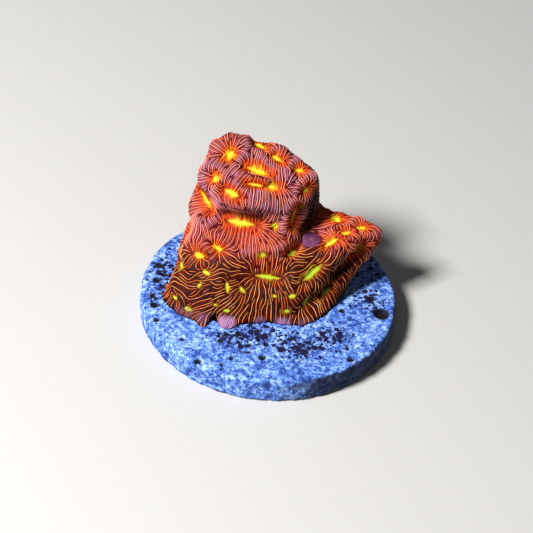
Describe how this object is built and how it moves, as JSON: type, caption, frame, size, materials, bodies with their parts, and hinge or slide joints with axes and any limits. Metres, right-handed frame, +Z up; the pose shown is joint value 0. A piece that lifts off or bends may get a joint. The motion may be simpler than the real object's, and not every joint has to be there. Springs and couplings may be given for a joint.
{
  "type": "brain coral on a disc",
  "caption": "Knobbly encrusting coral colony with a tall crown and a low side lobe, covered in fine ribs around star-shaped mouths, grown on a round ceramic disc that rests flat.",
  "frame": {"origin": "middle of the disc's flat underside", "axes": "+Z up through the disc's axis, -Y towards the colony's front, +X to its right, where the low lobe is"},
  "size_m": [0.032, 0.032, 0.0216],
  "materials": {
    "disc_ceramic": "unglazed, slightly rough and pitted, mottled with dark algae specks",
    "coral_tissue": "wet living tissue over finely ribbed limestone, satin"
  },
  "bodies": {
    "root": {"frag_disc": "disc_ceramic", "coral_colony": "coral_tissue"}
  },
  "joints": []
}
